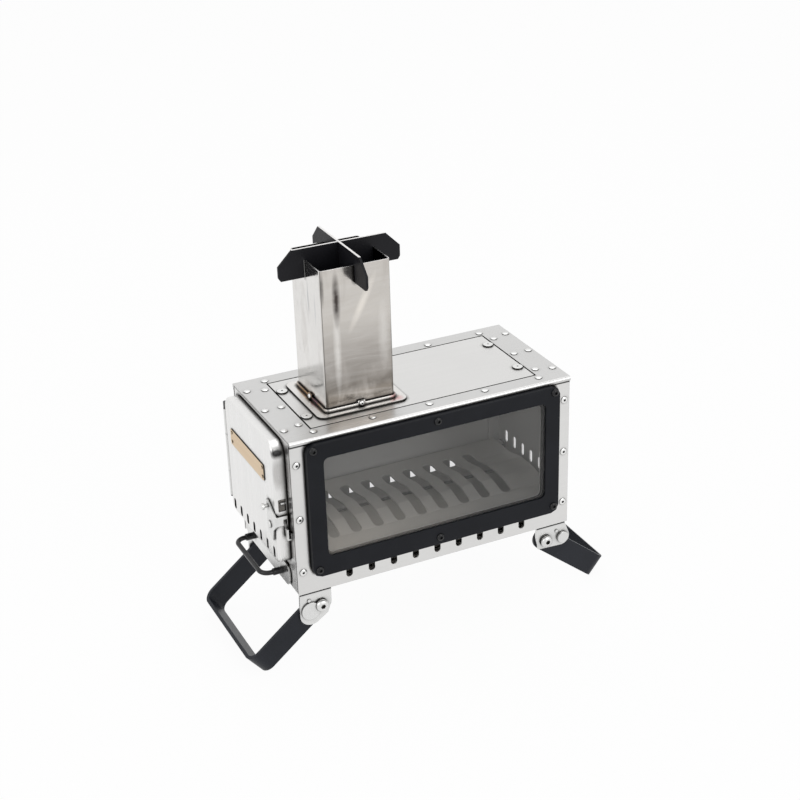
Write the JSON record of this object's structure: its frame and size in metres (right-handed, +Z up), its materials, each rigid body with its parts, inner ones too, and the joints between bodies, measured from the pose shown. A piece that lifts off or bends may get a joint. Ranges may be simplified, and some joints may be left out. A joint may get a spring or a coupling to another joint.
{
  "type": "folding wood stove",
  "caption": "Folding camping wood stove: stainless box on splayed U legs, with a glass window, an end fuel door, an ash drawer, a lift-off cooktop and a square chimney with a cross cap.",
  "frame": {"origin": "on the ground, below the middle of the stove's outline", "axes": "+X to the stove's right seen from the window side, +Y to its back, +Z up"},
  "size_m": [0.3518, 0.1374, 0.3519],
  "materials": {
    "stainless_body": "satin, brushed lengthways",
    "stainless_top": "satin, brushed lengthways",
    "stainless_door": "satin, drawn pan with soft bends",
    "stainless_fittings": "satin, plain brackets, hinge and drawer",
    "heat_tinted_steel": "satin, grey-brown where the heat has coloured it",
    "bright_rivets": "smooth domed rivet heads",
    "dark_fixings": "dark small screws, pins and nuts",
    "black_coat": "satin black powder coat",
    "black_rod": "semi-gloss black coat on round rod",
    "window_glass": "clear heat-proof glass",
    "gasket": "flat woven glass-fibre tape",
    "brass": "brushed, bare",
    "inner_steel": "plain mill finish inside the firebox"
  },
  "bodies": {
    "stove": {"left_end_frame": "stainless_body", "right_end_panel": "stainless_body", "front_panel": "stainless_body", "rear_panel": "stainless_body", "bottom_panel": "inner_steel", "top_frame": "stainless_top", "ledge_left": "inner_steel", "ledge_right": "inner_steel", "ledge_front": "inner_steel", "ledge_rear": "inner_steel", "top_rivets": "bright_rivets", "panel_rivets": "bright_rivets", "hinge_rivets": "bright_rivets", "bracket_rivets": "bright_rivets", "glass_gasket": "gasket", "window_glass": "window_glass", "window_frame": "black_coat", "window_screws": "black_coat", "window_nuts": "dark_fixings", "grate": "inner_steel", "grate_lugs_left": "inner_steel", "grate_lugs_right": "inner_steel", "drawer_guide_front": "inner_steel", "drawer_guide_rear": "inner_steel", "hinge_leaf_body": "stainless_fittings", "hinge_pin": "dark_fixings", "latch_catch": "stainless_fittings", "door_locating_pin": "dark_fixings", "left_front_bracket": "stainless_fittings", "left_rear_bracket": "stainless_fittings", "right_front_bracket": "stainless_fittings", "right_rear_bracket": "stainless_fittings", "pivot_bolts": "dark_fixings", "pivot_washers": "dark_fixings", "pivot_nuts": "dark_fixings", "stop_pins": "dark_fixings", "left_lock_knobs": "stainless_fittings", "right_lock_knobs": "stainless_fittings"},
    "door": {"door_pan": "stainless_door", "hinge_leaf_door": "stainless_fittings", "name_plate": "brass", "name_plate_pins": "brass", "latch_pivot": "dark_fixings"},
    "latch": {"latch_lever": "stainless_fittings", "latch_knob": "dark_fixings"},
    "ash_drawer": {"ash_tray": "stainless_fittings", "drawer_front": "stainless_fittings", "drawer_handle": "black_rod", "handle_sleeves": "black_rod", "handle_nuts": "dark_fixings"},
    "cooktop": {"cooktop_plate": "stainless_top", "cooktop_studs": "stainless_top", "chimney_flange": "heat_tinted_steel", "collar_screws": "dark_fixings"},
    "chimney": {"chimney_tube": "heat_tinted_steel"},
    "cross": {"cross_plate_long": "black_coat", "cross_plate_deep": "black_coat"},
    "left_leg": {"left_leg": "black_coat"},
    "right_leg": {"right_leg": "black_coat"}
  },
  "joints": [
    {"name": "door_hinge", "type": "hinge", "parent": "stove", "child": "door", "pos_m": [-0.138, 0.0658, 0.15542], "axis": [0, 0, -1], "range_deg": [0, 170]},
    {"name": "latch_turn", "type": "hinge", "parent": "door", "child": "latch", "pos_m": [-0.1418, -0.0378, 0.13392], "axis": [1, 0, 0], "range_deg": [0, 25]},
    {"name": "ash_drawer_slide", "type": "slide", "parent": "stove", "child": "ash_drawer", "axis": [-1, 0, 0], "range_m": [0, 0.19]},
    {"name": "left_leg_fold", "type": "hinge", "parent": "stove", "child": "left_leg", "pos_m": [-0.1095, 0.0028, 0.05662], "axis": [0, -1, 0], "range_deg": [0, 141]},
    {"name": "right_leg_fold", "type": "hinge", "parent": "stove", "child": "right_leg", "pos_m": [0.1095, 0.0028, 0.05662], "axis": [0, 1, 0], "range_deg": [0, 141]},
    {"name": "cooktop_lift", "type": "slide", "parent": "stove", "child": "cooktop", "axis": [0, 0, 1], "range_m": [0, 0.12]},
    {"name": "chimney_lift", "type": "slide", "parent": "cooktop", "child": "chimney", "axis": [0, 0, 1], "range_m": [0, 0.15]},
    {"name": "cross_lift", "type": "slide", "parent": "chimney", "child": "cross", "axis": [0, 0, 1], "range_m": [0, 0.06]}
  ]
}
